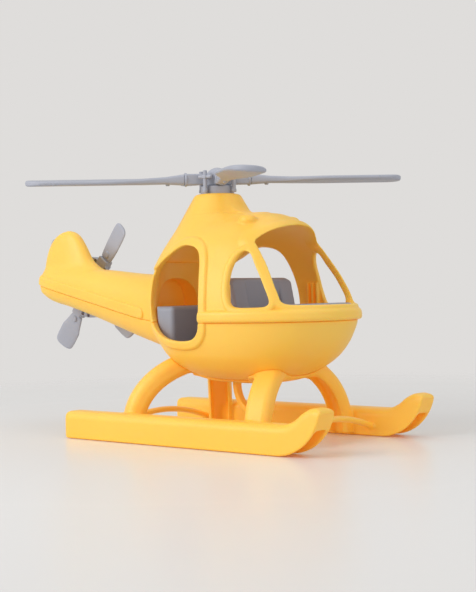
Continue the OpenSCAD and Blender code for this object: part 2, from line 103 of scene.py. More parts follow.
def monotone(knots, values, at):
    """Cubic through the knots that never overshoots."""
    gap = np.diff(knots)
    rise = np.diff(values) / gap
    slope = np.zeros(len(knots))
    product = rise[:-1] * rise[1:]
    total = rise[:-1] + rise[1:]
    slope[1:-1] = np.where(product > 0, 2 * product / (total + 1e-12 * (total == 0)), 0)
    slope[0] = rise[0]
    slope[-1] = rise[-1]
    i = np.clip(np.searchsorted(knots, at) - 1, 0, len(knots) - 2)
    t = np.clip((at - knots[i]) / gap[i], 0, 1)
    return ((2*t**3 - 3*t**2 + 1) * values[i] + (t**3 - 2*t**2 + t) * gap[i] * slope[i]
            + (-2*t**3 + 3*t**2) * values[i + 1] + (t**3 - t**2) * gap[i] * slope[i + 1])

class Profile:
    """Superellipse sections along one axis.

    Rows are station, low edge, high edge, half width."""
    STEP = 0.1

    def __init__(self, rows, power, smooth):
        rows = np.array(rows, float)
        stations = np.arange(rows[0, 0] - 12, rows[-1, 0] + 12, self.STEP)
        at = np.clip(stations, rows[0, 0], rows[-1, 0])
        reach = int(smooth / self.STEP)
        window = np.hanning(2 * reach + 3)[1:-1]
        window /= window.sum()

        def smoothed(column):
            values = monotone(rows[:, 0], rows[:, column], at)
            padded = np.concatenate([np.full(reach, values[0]), values,
                                     np.full(reach, values[-1])])
            return np.convolve(padded, window, "valid")

        low, high, wide = (smoothed(column) for column in (1, 2, 3))
        curves = [(low + high) / 2, np.maximum((high - low) / 2, 0.5), np.maximum(wide, 0.5)]
        self.table = np.array(curves + [np.gradient(curve, self.STEP) for curve in curves])
        self.first = stations[0]
        self.power = power

    def estimate(self, height, side, station):
        """First-order distance and its unit gradient."""
        place = np.clip((station - self.first) / self.STEP, 0, self.table.shape[1] - 1.001)
        i = place.astype(np.int32)
        part = place - i
        middle, tall, wide, d_middle, d_tall, d_wide = (
            self.table[:, i] * (1 - part) + self.table[:, i + 1] * part)
        power = self.power
        sign = np.sign(height - middle)
        up = np.abs(height - middle) / tall + 1e-6
        out = np.abs(side) / wide + 1e-6
        ring = (up ** power + out ** power) ** (1 / power)
        up_pull = (up / ring) ** (power - 1)
        out_pull = (out / ring) ** (power - 1)
        by_height = up_pull / tall
        by_side = out_pull / wide
        by_station = (-up_pull * (sign * d_middle / tall + up * d_tall / tall)
                      - out_pull * out * d_wide / wide)
        size = np.sqrt(by_height * by_height + by_side * by_side + by_station * by_station)
        return (ring - 1) / size, np.array([sign * by_height / size,
                                            np.sign(side) * by_side / size, by_station / size])

    def __call__(self, height, side, station):
        distance, slope = self.estimate(height, side, station)
        # from 8 mm inside to 20 mm outside, walk to the surface and measure
        near = np.abs(distance - 6) < 14
        start = np.array([height, side, station])[:, near]
        foot = start - distance[near] * slope[:, near]
        for _ in range(2):
            step, slope = self.estimate(*foot)
            foot = foot - step * slope
        distance[near] = np.sign(distance[near]) * np.sqrt(((foot - start) ** 2).sum(0))
        return distance

def closed_curve(corners, steps=8):
    """Smooth closed curve through the corners."""
    corners = np.array(corners, float)
    count = len(corners)
    curve = []
    for i in range(count):
        before, start = corners[i - 1], corners[i]
        end, after = corners[(i + 1) % count], corners[(i + 2) % count]
        for j in range(steps):
            t = j / steps
            curve.append(0.5 * (2*start + t*(end - before)
                                + t*t*(2*before - 5*start + 4*end - after)
                                + t**3*(3*start - before - 3*end + after)))
    return np.array(curve)

class Outline:
    """Distance to a closed flat outline, read from a fine table."""
    CELL = 0.4

    def __init__(self, corners, pad=22.0):
        curve = closed_curve(corners)
        self.low = curve.min(0) - pad
        size = np.ceil((curve.max(0) + pad - self.low) / self.CELL).astype(int) + 1
        axes = [self.low[k] + self.CELL * np.arange(size[k]) for k in (0, 1)]
        grid = np.stack([axis.ravel() for axis in np.meshgrid(*axes, indexing="ij")], 1)
        nearest = np.full(len(grid), 1e9)
        inside = np.zeros(len(grid), bool)
        for i in range(len(curve)):
            start, end = curve[i - 1], curve[i]
            edge = end - start
            offset = grid - start
            part = np.clip((offset @ edge) / (edge @ edge + 1e-12), 0, 1)
            gap = offset - part[:, None] * edge
            nearest = np.minimum(nearest, (gap * gap).sum(1))
            spans = (start[1] > grid[:, 1]) != (end[1] > grid[:, 1])
            with np.errstate(divide="ignore", invalid="ignore"):
                crossing = (start[0] + (grid[:, 1] - start[1])
                            / (end[1] - start[1] + 1e-30) * edge[0])
            inside ^= spans & (grid[:, 0] < crossing)
        distance = np.sqrt(nearest)
        distance[inside] *= -1
        self.table = distance.reshape(size)

    def __call__(self, across, up):
        u = (across - self.low[0]) / self.CELL
        v = (up - self.low[1]) / self.CELL
        wide, tall = self.table.shape
        beyond = np.hypot(np.maximum(0, np.maximum(-u, u - wide + 1)),
                          np.maximum(0, np.maximum(-v, v - tall + 1))) * self.CELL
        u = np.clip(u, 0, wide - 1.001)
        v = np.clip(v, 0, tall - 1.001)
        i, j = u.astype(np.int32), v.astype(np.int32)
        u, v = u - i, v - j
        table = self.table
        return (table[i, j]*(1-u)*(1-v) + table[i+1, j]*u*(1-v)
                + table[i, j+1]*(1-u)*v + table[i+1, j+1]*u*v) + beyond

# ------------------------------------------------------------------ meshing
POOL = ThreadPoolExecutor(8)
CHUNK = 12000          # points per task
BLOCK = 8              # cells along a block
BATCH = 1500           # blocks filled at a time
SLOPE_STEP = 0.02      # mm, for the slope while settling
NORMAL_REACH = 0.22    # of a cell, so that an edge turns smoothly

def surface_net(shape, low, high, cell):
    """Points, quads and normals of the surface of shape inside a box.

    Blocks far from the surface are skipped, and the points slide onto it at the end."""
    def field(points):
        parts = len(points) // CHUNK
        if parts < 2:
            return shape(points)
        return np.concatenate(list(POOL.map(shape, np.array_split(points, parts))))

    low = np.array(low, float)
    blocks = np.ceil((np.array(high, float) - low) / (cell * BLOCK)).astype(int)
    size = blocks * BLOCK + 1
    axes = [low[k] + cell * BLOCK * (np.arange(blocks[k]) + 0.5) for k in range(3)]
    depth = field(np.stack(np.meshgrid(*axes, indexing="ij"), -1).reshape(-1, 3))
    near = np.abs(depth) < cell * BLOCK * 0.87 * 1.7 + 1.5
    near = np.argwhere(near.reshape(blocks))
    grid = np.full(size, 1e3, np.float32)
    signs = np.where(depth < 0, -1e3, 1e3).reshape(blocks)
    grid[:-1, :-1, :-1] = signs.repeat(BLOCK, 0).repeat(BLOCK, 1).repeat(BLOCK, 2)
    offsets = np.stack(np.meshgrid(*[np.arange(BLOCK + 1)] * 3, indexing="ij"), -1)
    offsets = offsets.reshape(-1, 3)
    for first in range(0, len(near), BATCH):
        at = (near[first:first + BATCH, None, :] * BLOCK + offsets[None]).reshape(-1, 3)
        grid[tuple(at.T)] = field(low + at * cell)

    # one point in each cell that the surface crosses, amid the crossings on its edges
    inside = grid < 0
    corners = list(itertools.product((0, 1), repeat=3))
    count = np.zeros(size - 1, np.int8)
    for i, j, k in corners:
        count += inside[i:size[0]-1+i, j:size[1]-1+j, k:size[2]-1+k]
    cells = np.argwhere((count > 0) & (count < 8))
    index = np.full(size - 1, -1, np.int32)
    index[tuple(cells.T)] = np.arange(len(cells))
    total = np.zeros((len(cells), 3))
    crossings = np.zeros(len(cells))
    values = {corner: grid[tuple((cells + corner).T)].astype(float) for corner in corners}
    for corner in corners:
        for axis in range(3):
            if corner[axis]:
                continue
            start = values[corner]
            end = values[corner[:axis] + (1,) + corner[axis + 1:]]
            crossed = (start < 0) != (end < 0)
            spot = np.tile(np.array(corner, float), (crossed.sum(), 1))
            spot[:, axis] += start[crossed] / (start[crossed] - end[crossed])
            total[crossed] += spot
            crossings[crossed] += 1
    points = low + (cells + total / crossings[:, None]) * cell

    # one quad round each grid edge that the surface crosses
    quads = []
    for axis in range(3):
        u, v = (axis + 1) % 3, (axis + 2) % 3
        edges = np.argwhere(np.diff(inside, axis=axis))
        edges = edges[(edges[:, u] > 0) & (edges[:, v] > 0)
                      & (edges[:, u] < size[u] - 1) & (edges[:, v] < size[v] - 1)]

        def owner(back_u, back_v):
            at = edges.copy()
            at[:, u] -= back_u
            at[:, v] -= back_v
            return index[tuple(at.T)]

        quad = np.stack([owner(1, 1), owner(0, 1), owner(0, 0), owner(1, 0)], 1)
        flip = ~inside[tuple(edges.T)]
        quad[flip] = quad[flip][:, ::-1]
        quads.append(quad)
    quads = np.concatenate(quads)

    sides = np.concatenate([quads[:, pair] for pair in ([0, 1], [1, 2], [2, 3], [3, 0])])
    degree = np.maximum(np.bincount(sides.ravel(), minlength=len(points)), 1)

    def settle(points):
        value = field(points)
        slope = np.stack([(field(points + step) - value) / SLOPE_STEP
                          for step in np.eye(3) * SLOPE_STEP], 1)
        move = np.clip(-value / np.maximum((slope * slope).sum(1), 0.05),
                       -0.5 * cell, 0.5 * cell)
        return points + slope * move[:, None]

    for _ in range(2):
        points = settle(points)
        around = np.stack([np.bincount(sides[:, 0], points[sides[:, 1], k], len(points))
                           + np.bincount(sides[:, 1], points[sides[:, 0], k], len(points))
                           for k in range(3)], 1)
        points = 0.5 * points + 0.5 * around / degree[:, None]
    points = settle(points)
    normals = np.stack([field(points + step) - field(points - step)
                        for step in np.eye(3) * (NORMAL_REACH * cell)], 1)
    normals /= np.maximum(np.linalg.norm(normals, axis=1), 1e-6)[:, None]
    return points, quads, normals

# ------------------------------------------------------------------ the mast's lean
ROTOR_Z = 145.4                          # middle of the main rotor
LEAN_TOWARDS = math.radians(-50.3)       # the starboard bow
LEAN_ANGLE = math.radians(3.0)

def lean_matrix():
    cos, sin = math.cos(LEAN_TOWARDS), math.sin(LEAN_TOWARDS)
    swing = np.array([[cos, -sin, 0], [sin, cos, 0], [0, 0, 1]])
    cos, sin = math.cos(LEAN_ANGLE), math.sin(LEAN_ANGLE)
    tip = np.array([[cos, 0, sin], [0, 1, 0], [-sin, 0, cos]])
    return swing @ tip @ swing.T

LEAN = lean_matrix()
PIVOT = np.array([0, 0, ROTOR_Z])

def upright(points):
    return (points - PIVOT) @ LEAN + PIVOT

def leaned(points):
    return (points - PIVOT) @ LEAN.T + PIVOT

# ------------------------------------------------------------------ body
# stations up z: z, rear x, front x, half width
CABIN = Profile([
    [32.6, 12, 36, 8], [33.4, 2, 46, 17], [36, -10, 57, 26], [41, -21, 68, 34],
    [48, -29.5, 76.5, 40], [57, -35, 82.5, 43.8], [66, -37, 85.5, 45.5], [76, -37.5, 84, 45],
    [87, -36.5, 78.5, 43], [98, -33, 71, 39], [108, -26, 64.5, 34], [115, -17, 58.5, 28],
    [120, -8, 52, 21], [123.3, 4, 44, 13], [124.8, 14, 37, 6]], 2.15, 0.6)
# stations along x: x, bottom z, top z, half width
BOOM = Profile([
    [-147.6, 86.8, 92.6, 3.6], [-146, 83.4, 95, 6], [-142, 80.2, 97, 8.4],
    [-134, 77, 98, 10.6], [-120, 73.8, 97.9, 12], [-95, 67, 96.8, 14.2],
    [-55, 54.8, 93, 17.5], [-24, 46, 91.5, 20]], 2.5, 0.8)
# stations up z: z, rear x, front x, half width
FIN = Profile([
    [86, -146, -96, 7.6], [97, -145.6, -99, 7], [104, -144.4, -105.2, 6.4],
    [112, -141, -110.3, 5.6], [118, -135.5, -115, 4.6], [121, -129.6, -119.4, 3.1],
    [121.9, -126.2, -122, 1.6]], 2.4, 0.6)
# side openings: x, z
DOOR = Outline([
    [4, 107], [12, 106.2], [17, 103.5], [19.8, 99], [21.8, 92], [23.6, 80], [23.8, 66],
    [22, 60], [17, 56.4], [8.7, 55.4], [0, 55.9], [-8, 57.4], [-16, 61], [-22, 66.4],
    [-26.3, 73], [-27.3, 81], [-25, 88.4], [-20, 94.6], [-14, 98.8], [-8, 102], [-3, 104.6]])
WINDOW = Outline([
    [42.5, 78], [41.4, 83], [41, 88], [40.9, 93.5], [41.8, 98], [43.6, 101.2], [46, 102.4],
    [49, 100.7], [52.6, 95.2], [56.8, 89], [61.2, 81.2], [63.3, 76.5], [62.9, 74.2],
    [60.5, 73.2], [54.5, 73], [48.2, 73.1], [44.4, 74.2]])
# port half of the windscreen: y, z
SCREEN_HALF = [
    [0, 73.8], [14, 73.8], [25, 73.9], [29.6, 74.3], [31.9, 75.8], [32.2, 79.5], [31.7, 85],
    [30.9, 90], [29.4, 97], [28.4, 103.6], [27.4, 107.6], [23.4, 110.9], [17.4, 113.7],
    [10.5, 115.5], [3, 116.3]]
SCREEN = Outline(SCREEN_HALF + [[-y, z] for y, z in SCREEN_HALF[:0:-1]])

WALL = 2.2
CONE_TOP, CONE_RADIUS, CONE_FLARE = 136.8, 12.75, 0.57
CONE_SCALE = 0.8688            # turns a level gap into one square to the cone
BOSS_TOP = 134.4               # also the roof of the cone's hollow
STRIP_FRONT, STRIP_HALF = -46.0, 3.3
STRIP_SCALE = 0.977            # the same for the sloping strip
SPLIT = 0.03                   # each half stops this far from the seam
SEAM_EDGE = 0.45
PIN_XS, PIN_HOLE = (5, 41), 2.02
TAIL_X, TAIL_Z = -124.5, 86.3  # tail rotor's axis

def cabin_body(points):
    x, y, z = points.T
    return overlap(overlap(CABIN(x, y, z), z - 124.9, 2.0), 32.4 - z, 1.5)

def cone_body(points):
    x, y, z = points.T
    side = (np.hypot(x, y) - CONE_RADIUS - CONE_FLARE * (CONE_TOP - z)) * CONE_SCALE
    return np.maximum(overlap(side, z - CONE_TOP, 1.7), 96 - z)

def boom_body(points):
    x, y, z = points.T
    return np.maximum(overlap(BOOM(z, y, x), -147.7 - x, 1.5), x + 24)

def fin_body(points):
    x, y, z = points.T
    return np.maximum(overlap(FIN(x, y, z), z - 122.0, 1.2), 86 - z)

def seam(x):
    """Height of the seam: level along the cabin, rising aft along the boom."""
    return overlap(np.full_like(x, 65.2), 67.7 + 0.219 * (-51.2 - x), 3.0)

def whole_shell(points):
    """The moulded body before it is split at the seam."""
    x, y, z = points.T
    cabin, cone = cabin_body(points), cone_body(points)
    boom, fin = boom_body(points), fin_body(points)
    body = join(cabin, cone, 6.0)
    body = join(body, boom, 5.0)
    body = join(body, fin, 5.0)
    door, window, screen = DOOR(x, z), WINDOW(x, z), SCREEN(y, z)
    # belt round the nose, and the strip along the boom
    belt = overlap(overlap(cabin - 2.4, np.abs(z - 68.4) - 3.2, 2.4), 21 - x, 1.5)
    body = join(body, belt, 0.5)
    above_seam = z - seam(x) - 3.35
    band = np.hypot(np.maximum(x - STRIP_FRONT, 0), above_seam * STRIP_SCALE) - STRIP_HALF
    body = join(body, overlap(boom - 1.1, band, 1.2), 0.5)
    # rims round the doors and side windows, and the brow round the windscreen
    body = join(body, overlap(cabin - 1.5, door - 5.0, 1.6), 0.5)
    body = join(body, overlap(cabin - 1.2, window - 3.4, 1.2), 0.5)
    brow = overlap(overlap(cabin - 1.1, screen - 3.4, 1.2), 39 - x, 3.0)
    body = join(body, brow, 0.8)
    # two small domes on the roof
    for side in (-1, 1):
        dome = ellipsoid(points, (37.2, 19.2 * side, 119.6), (5.2, 4.4, 3.2))
        body = join(body, dome, 1.5)
    # hollows; the boom's has a bulkhead a little behind the cabin
    cone_hollow = np.maximum(overlap(cone + WALL, 98 - z, 4.0), z - BOSS_TOP)
    hollow = np.minimum(cabin + WALL, cone_hollow)
    bulkhead = np.minimum(x + 44.5, -42.0 - x)
    boom_hollow = np.maximum(np.maximum(boom + 2.0, -143 - x), bulkhead)
    hollow = np.minimum(hollow, boom_hollow)
    body = cut(body, hollow, 0.6)
    # ribs on the inside of both walls
    mirrored = np.stack([x, np.abs(y), z], 1)
    for rib_x in (33.4, 36.6, 39.8):
        rib = round_box(mirrored, (rib_x - 0.7, 38.2, 73), (rib_x + 0.7, 52, 85.5), 0.5)
        body = join(body, overlap(rib, cabin + 1.4, 0.6), 0.8)
    # bosses on the two rotor axes
    body = join(body, rod(upright(points), (0, 0, 116), (0, 0, BOSS_TOP), 7.0, 0.6), 1.0)
    body = join(body, rod(points, (TAIL_X, 4, TAIL_Z), (TAIL_X, 14.9, TAIL_Z), 4.8, 0.5), 0.8)
    # openings
    body = cut(body, door, 1.5)
    body = cut(body, window, 1.5)
    return cut(body, np.maximum(screen, 42 - x), 1.5)

def cut_pin_holes(solid, x, y):
    for pin_x in PIN_XS:
        solid = cut(solid, np.hypot(x - pin_x, y) - PIN_HOLE)
    return solid

def upper_shell(points):
    x, y, z = points.T
    half = overlap(whole_shell(points), seam(x) + SPLIT - z, SEAM_EDGE)
    mast = upright(points)
    half = cut(half, np.maximum(np.hypot(mast[:, 0], mast[:, 1]) - 3.02, 110 - z))
    return cut(half, np.maximum(np.hypot(x - TAIL_X, z - TAIL_Z) - 2.42, -y))

def lower_shell(points):
    x, y, z = points.T
    half = overlap(whole_shell(points), z - seam(x) + SPLIT, SEAM_EDGE)
    half = cut_pin_holes(half, x, y)
    # room for the tail boss
    return cut(half, round_box(points, (-129.9, 3, 70), (-119.1, 15, 100), 0.3))

# ------------------------------------------------------------------ landing gear
SKID_Y, SKID_WIDTH, SKID_HEIGHT, SKID_WALL = 47.2, 16.0, 15.2, 2.4
SKID_REAR = -73.9
CURL_X, CURL_RADIUS = 80.0, 27.5     # the skid curls up ahead of CURL_X
# degrees round the curl, height of the skid there
CURL = np.array([[0, SKID_HEIGHT], [12, 15], [24, 14.7], [36, 14.2], [48, 13.5], [58, 12.7],
                 [66, 11.8], [72, 10.3], [77, 8], [80, 5.5], [82, 3]], float)
CURL_ANGLES = np.radians(CURL[:, 0])

def curl_point(angle, height):
    radius = CURL_RADIUS - height
    return [CURL_X + radius * math.sin(angle), CURL_RADIUS - radius * math.cos(angle)]

# side view of a skid: x, z, going forward along the sole, round the nose and back on top
SKID_SIDE = Outline(
    [[x, 0] for x in range(-86, 80, 12)]
    + [curl_point(angle, 0) for angle in np.radians(np.arange(0, 80, 7.0))]
    + [[107.1, 21.6], [106.2, 23.2], [104.2, 24.1], [101.4, 24.2], [98.4, 23.3]]
    + [curl_point(angle, height) for angle, height in zip(CURL_ANGLES[6::-1], CURL[6::-1, 1])]
    + [[x, SKID_HEIGHT] for x in range(70, -87, -12)] + [[-86, SKID_HEIGHT / 2]], pad=30.0)
# top, foot, width, thickness, shift of the hollow
LEGS = [((-3.3, 0.6, 43.5), (-33.1, 37.3, 7.2), 14.4, 12.9, (1.5, -2.4, -2.2)),
        ((46.5, 0.6, 42.1), (55.7, 37.5, 5.0), 14.2, 9.6, (-0.5, -2.4, -2.2))]
BOW_XS, BOW_REACH, BOW_RISE, BOW_HALF = (-47.0, 74.0), 42.2, 8, (2.6, 1.7)

def skid(x, side, z):
    """One skid; side is the distance from the middle plane."""
    ahead = x > CURL_X
    angle = np.arctan2(x - CURL_X, np.maximum(CURL_RADIUS - z, 0.01))
    angle = np.clip(np.where(ahead, angle, 0), 0, 1.5)
    above = np.where(ahead, CURL_RADIUS - np.hypot(x - CURL_X, z - CURL_RADIUS), z)
    height = np.interp(angle, CURL_ANGLES, CURL[:, 1])
    half = SKID_WIDTH / 2 * (1 - 0.1 * angle / 1.43)
    flank = np.abs(side - SKID_Y) - half
    # edges are tight at the sole and full on top
    top_edge = np.interp(angle, [0, 0.9, 1.2, 1.5], [5.2, 5.2, 4.8, 4.2])
    edge = 0.9 + smoothstep(above, 0.25 * height, 0.4 * height) * (top_edge - 0.9)
    outer = round_corner(SKID_SIDE(x, z) + edge, flank + edge, edge)
    outer = overlap(outer, SKID_REAR - x, 4.0)
    # corners rounded in plan at both ends
    corner = 5.2
    for end in (SKID_REAR - x, (angle - 1.46) * CURL_RADIUS):
        plan = np.hypot(np.maximum(flank + corner, 0), np.maximum(end + corner, 0)) - corner
        outer = overlap(outer, plan, 1.2)
    # hollow, open below and ending part of the way round the curl
    inner = round_rect(side - SKID_Y, np.maximum(above - height / 2 + 10, 0),
                       half - SKID_WALL, height / 2 + 10 - SKID_WALL, 2.6)
    inner = overlap(inner, SKID_REAR + SKID_WALL + 0.6 - x, 3.0)
    inner = overlap(inner, (angle - math.radians(58)) * CURL_RADIUS, 3.0)
    return cut(outer, inner, 1.3)

def leg(x, side, z, top, foot, width, thickness, shift):
    """A quarter-ellipse leg, hollow underneath."""
    heading = np.array([foot[0] - top[0], foot[1] - top[1]], float)
    run = np.hypot(*heading)
    heading /= run
    drop = top[2] - foot[2]

    def arc(x, side, z):
        along = (x - top[0]) * heading[0] + (side - top[1]) * heading[1]
        across = -(x - top[0]) * heading[1] + (side - top[1]) * heading[0]
        out = np.maximum(along, 0) + 1e-6
        up = np.maximum(z - foot[2], 0) + 1e-6
        ring = np.hypot(out / run, up / drop)
        return along, across, (ring - 1) * ring / np.hypot(out / run ** 2, up / drop ** 2)

    along, across, gap = arc(x, side, z)
    outer = round_rect(gap, across, thickness / 2, width / 2, 0.42 * thickness)
    outer = overlap(overlap(outer, 1.5 - z, 0.5), -3 - along, 1.0)
    along, across, gap = arc(x - shift[0], side - shift[1], z - shift[2])
    inner = round_rect(gap, across, (thickness - 1) / 2, (width - 4.4) / 2, 2.4)
    return cut(outer, overlap(inner, -along, 1.0), 1.2)

def hook(x, y, z):
    """Elliptical hook under the cabin, tapering as it goes round."""
    across, up = (x - 27) / 15.5, (z - 30) / 17.0
    angle = np.degrees(np.arctan2(up, across)) % 360
    gap = (np.hypot(across, up) - 1) * 16.2
    taper = np.clip((angle - 150) / 155, 0, 1)
    bar = round_rect(gap, y, 1.9 - 0.5 * taper, 2.4, 1.0)
    return overlap(bar, (np.abs(angle - 227.5) - 77.5) * 0.283, 1.2)

def landing_gear(points):
    x, y, z = points.T
    side = np.abs(y)
    gear = skid(x, side, z)
    for sizes in LEGS:
        # the foot meets the skid's inner wall, and not its hollow
        limb = cut(leg(x, side, z, *sizes), np.maximum(41.0 - side, z - 10.6))
        gear = join(gear, limb, 1.6)
    # bowed rods between the skids
    part = y / BOW_REACH
    half_x, half_z = BOW_HALF
    for bow_x in BOW_XS:
        middle = 4.5 + BOW_RISE * (1 - part * part)
        tilt = np.sqrt(1 + (2 * BOW_RISE * part / BOW_REACH) ** 2)
        bow = (np.hypot((x - bow_x) / half_x, (z - middle) / half_z / tilt) - 1) * half_z
        gear = join(gear, overlap(bow, side - BOW_REACH, 0.6), 1.2)
    # plate that hugs the belly, wider at the front
    plan = round_rect(x - 19, side, 37.0, 13 + 12 * smoothstep(x, 32, 9), 6.0)
    plate = overlap(cabin_body(points + np.array([0, 0, 0.6])) - 0.9, plan, 0.8)
    gear = join(gear, overlap(plate, z - 42, 0.6), 3.5)
    gear = join(gear, hook(x, y, z), 1.5)
    gear = cut(gear, cabin_body(points) - 0.06, 0.4)
    gear = cut(gear, z)
    return cut_pin_holes(gear, x, y)

def gear_pins(points):
    pins = np.full(len(points), 1e3)
    for pin_x in PIN_XS:
        stem = rod(points, (pin_x, 0, 31.6), (pin_x, 0, 37.0), 2.0, 0.3)
        head = rod(points, (pin_x, 0, 36.1), (pin_x, 0, 37.6), 3.6, 0.4)
        pins = np.minimum(pins, join(stem, head, 0.4))
    return pins

# ------------------------------------------------------------------ seats
def seats(points):
    x, y, z = points.T
    solid = np.maximum(z - 52.4, 50 - z)   # level slab
    solid = join(solid, round_box(points, (-34, -29.5, 40), (-9.5, 29.5, 74), 2.6), 1.6)
    back = round_rect(y, z - 68.4, 26.5, 20.4, 5.0)
    solid = join(solid, overlap(back, np.abs(x - 26.75) - 4.25, 2.2), 1.6)
    # wings down both sides of the back, deeper towards the slab
    wing = overlap(np.abs(np.abs(y) - 20.6) - 5.8,
                   x - (31.2 + np.maximum(87.6 - z, 0) * 0.21), 1.6)
    wing = overlap(overlap(wing, 26 - x, 0.5), np.abs(z - 74) - 13.6, 2.0)
    solid = join(solid, wing, 0.9)
    # block ahead of the back, then a shelf in the nose and the plate under its rear edge
    solid = join(solid, round_box(points, (22.5, -26.5, 40), (48, 26.5, 66), 3.0), 1.6)
    solid = join(solid, round_box(points, (60, -60, 71.6), (120, 60, 74.2), 0.6), 0.6)
    solid = join(solid, round_box(points, (60, -24, 50), (62.4, 24, 73), 0.6), 0.8)
    return overlap(solid, cabin_body(points) + 2.55, 0.8)

# ------------------------------------------------------------------ main rotor
HEAD_Z = 141.9                                   # underside of the head
HEAD_TOP = HEAD_Z + 7.4
ARM_ANGLES = [49 + 90 * i for i in range(4)]     # degrees
LINK_ANGLES = [4 + 90 * i for i in range(4)]
LINK_RADIUS = 11.5                               # of the circle the links stand on
BLADE_ROOT, BLADE_DROOP = 18.9, 0.8
# each blade's droop inboard in mm, bend outboard in degrees
BLADE_SETS = [(0.8, 0.0), (0.0, 1.6), (0.8, 0.0), (0.0, 0.65)]

def turn(points, degrees):
    """Points seen from an arm at this angle: along it, across it, up."""
    cos, sin = math.cos(math.radians(degrees)), math.sin(math.radians(degrees))
    return np.stack([points[:, 0] * cos + points[:, 1] * sin,
                     -points[:, 0] * sin + points[:, 1] * cos, points[:, 2]], 1)

def rotor_head(points):
    head = rod(points, (0, 0, HEAD_Z), (0, 0, HEAD_TOP), 7.4, 0.7)
    radius = np.hypot(points[:, 0], points[:, 1])
    # a shallow groove round the hub under its lip
    head = cut(head, np.hypot(radius - 7.6, points[:, 2] - (HEAD_Z + 4.9)) - 0.55, 0.3)
    for arm_angle, link_angle in zip(ARM_ANGLES, LINK_ANGLES):
        arm = turn(points, arm_angle)
        bar = round_box(arm, (3, -3, HEAD_Z + 0.4), (18.2, 3, HEAD_Z + 6.8), 1.1)
        head = join(head, bar, 0.9)
        flange = rod(arm, (17.5, 0, ROTOR_Z), (BLADE_ROOT, 0, ROTOR_Z), 3.9, 0.5)
        head = join(head, flange, 0.6)
        link = turn(points, link_angle)
        tab = round_box(link, (5, -1.4, HEAD_Z + 3.8), (13, 1.4, HEAD_Z + 5.8), 0.5)
        head = join(head, tab, 0.6)
        height = HEAD_Z + 4.8
        bar = rod(link, (LINK_RADIUS, -4.4, height), (LINK_RADIUS, 4.4, height), 0.95, 0.4)
        head = join(head, bar, 0.3)
    # holes for the links and blades, then the bore and its wider lower part
    for arm_angle, link_angle in zip(ARM_ANGLES, LINK_ANGLES):
        link = turn(points, link_angle)
        head = cut(head, np.maximum(np.hypot(link[:, 0] - LINK_RADIUS, link[:, 1]) - 1.19,
                                    np.abs(link[:, 2] - HEAD_Z - 5) - 3))
        arm = turn(points, arm_angle)
        head = cut(head, np.maximum(np.hypot(arm[:, 1], arm[:, 2] - ROTOR_Z) - 2.04,
                                    12.8 - arm[:, 0]))
    head = cut(head, radius - 3.06)
    return cut(head, np.maximum(radius - 4.82, HEAD_Z + 3.85 - points[:, 2]))

def rotor_cap(points):
    offset = points - np.array([0, 0, HEAD_TOP - 4.2])
    cap = overlap(np.sqrt((offset * offset).sum(1)) - 7.0,
                  np.hypot(points[:, 0], points[:, 1]) - 5.6, 0.6)
    return overlap(cap, HEAD_TOP - points[:, 2], 0.4)

def mast_collar(points):
    mast = upright(points)
    collar = rod(mast, (0, 0, 135.3), (0, 0, 141.8), 9.45, 0.6)
    collar = overlap(collar, 136.82 - points[:, 2], 0.3)
    return cut(collar, np.hypot(mast[:, 0], mast[:, 1]) - 3.02)

def pitch_links(points):
    links = np.full(len(points), 1e3)
    for angle in LINK_ANGLES:
        link = turn(points, angle)
        foot = (LINK_RADIUS, 0, 138.0)
        stem = rod(link, foot, (LINK_RADIUS, 0, 150.4), 1.15, 0.5)
        collar = rod(link, foot, (LINK_RADIUS, 0, 139.8), 1.4, 0.4)
        links = np.minimum(links, join(stem, collar, 0.5))
    return links

class BladeForm:
    """A twisted blade of superellipse sections, from values at stations along it."""
    def __init__(self, stations, half_chord, half_thick, pitch, power):
        self.along = np.linspace(stations[0], stations[-1], 800)
        self.curves = [monotone(stations, values, self.along)
                       for values in (half_chord, half_thick, pitch)]
        self.power = power

    def __call__(self, along, across, up):
        chord, thick, pitch = (np.interp(along, self.along, curve) for curve in self.curves)
        pitch = np.radians(pitch)
        power = self.power
        flat = np.abs(across * np.cos(pitch) + up * np.sin(pitch)) / chord + 1e-6
        high = np.abs(-across * np.sin(pitch) + up * np.cos(pitch)) / thick + 1e-6
        ring = (flat ** power + high ** power) ** (1 / power)
        return (ring - 1) / np.hypot((flat / ring) ** (power - 1) / chord,
                                     (high / ring) ** (power - 1) / thick)

def main_blade_form():
    """A thick root, then wider, thinner and pitched outboard."""
    x = np.array([BLADE_ROOT, 21, 24, 27, 30, 33, 37, 42, 48, 54, 60, 66, 74, 84, 107.7])
    half_chord = np.where(x < 30, 3.4, (7 + 14 * smoothstep(x, 30.2, 34)) / 2)
    half_thick = np.where(x < 30, 3.2 - 1.1 * (x - BLADE_ROOT) / 11,
                          2.1 - 0.45 * np.clip((x - 30) / 20, 0, 1))
    pitch = np.where(x < 28, 0, -4 * np.clip((x - 28) / 20, 0, 1))
    return BladeForm(x, half_chord, half_thick, pitch, 3.0)

MAIN_FORM = main_blade_form()

